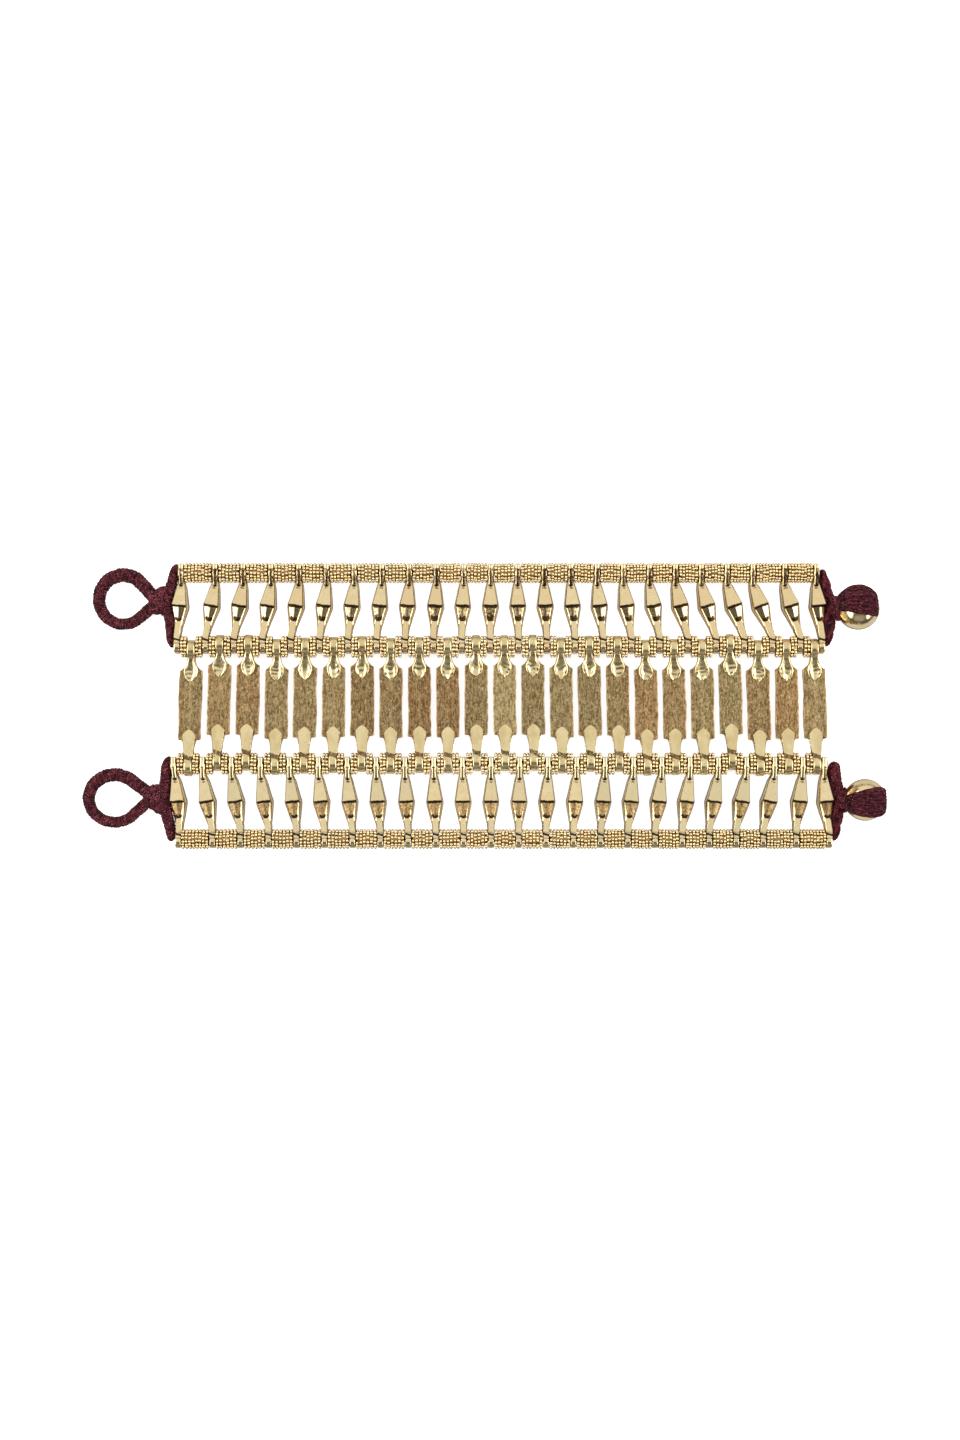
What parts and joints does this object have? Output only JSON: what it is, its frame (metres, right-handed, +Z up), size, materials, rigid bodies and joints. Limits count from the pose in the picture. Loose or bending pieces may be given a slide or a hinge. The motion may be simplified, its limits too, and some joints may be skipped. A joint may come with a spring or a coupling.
{
  "type": "strung link bracelet",
  "caption": "Wide flat bracelet of lozenge and plate links and granulated ring beads strung on threads, closed by thread-wrapped loops and ball buttons.",
  "frame": {"origin": "centre of the bounding box's footprint, on the surface that the open bracelet lies on", "axes": "+X along the band from the loops to the ball buttons, +Y across the band, +Z up from the surface"},
  "size_m": [0.1892, 0.0674, 0.0101],
  "materials": {
    "polished_gold": "polished, with darker hollows",
    "granulated_gold": "polished granules with dark pits",
    "antique_plate": "brushed antique, mottled",
    "maroon_cord": "fine wound cotton thread",
    "dark_thread": "dark waxed thread"
  },
  "bodies": {
    "root": {"plate_link_01": "antique_plate", "plate_link_02": "antique_plate", "plate_link_03": "antique_plate", "plate_link_04": "antique_plate", "plate_link_05": "antique_plate", "plate_link_06": "antique_plate", "plate_link_07": "antique_plate", "plate_link_08": "antique_plate", "plate_link_09": "antique_plate", "plate_link_10": "antique_plate", "plate_link_11": "antique_plate", "plate_link_12": "antique_plate", "plate_link_13": "antique_plate", "plate_link_14": "antique_plate", "plate_link_15": "antique_plate", "plate_link_16": "antique_plate", "plate_link_17": "antique_plate", "plate_link_18": "antique_plate", "plate_link_19": "antique_plate", "plate_link_20": "antique_plate", "plate_link_21": "antique_plate", "plate_link_22": "antique_plate", "plate_link_23": "antique_plate", "upper_lozenge_links": "polished_gold", "lower_lozenge_links": "polished_gold", "upper_edge_beads": "granulated_gold", "upper_inner_beads": "granulated_gold", "lower_inner_beads": "granulated_gold", "lower_edge_beads": "granulated_gold", "upper_edge_thread": "dark_thread", "upper_inner_thread": "dark_thread", "lower_inner_thread": "dark_thread", "lower_edge_thread": "dark_thread", "upper_button_loop": "maroon_cord", "lower_button_loop": "maroon_cord", "upper_ball": "polished_gold", "lower_ball": "polished_gold", "upper_ball_wrap": "maroon_cord", "lower_ball_wrap": "maroon_cord"}
  },
  "joints": []
}
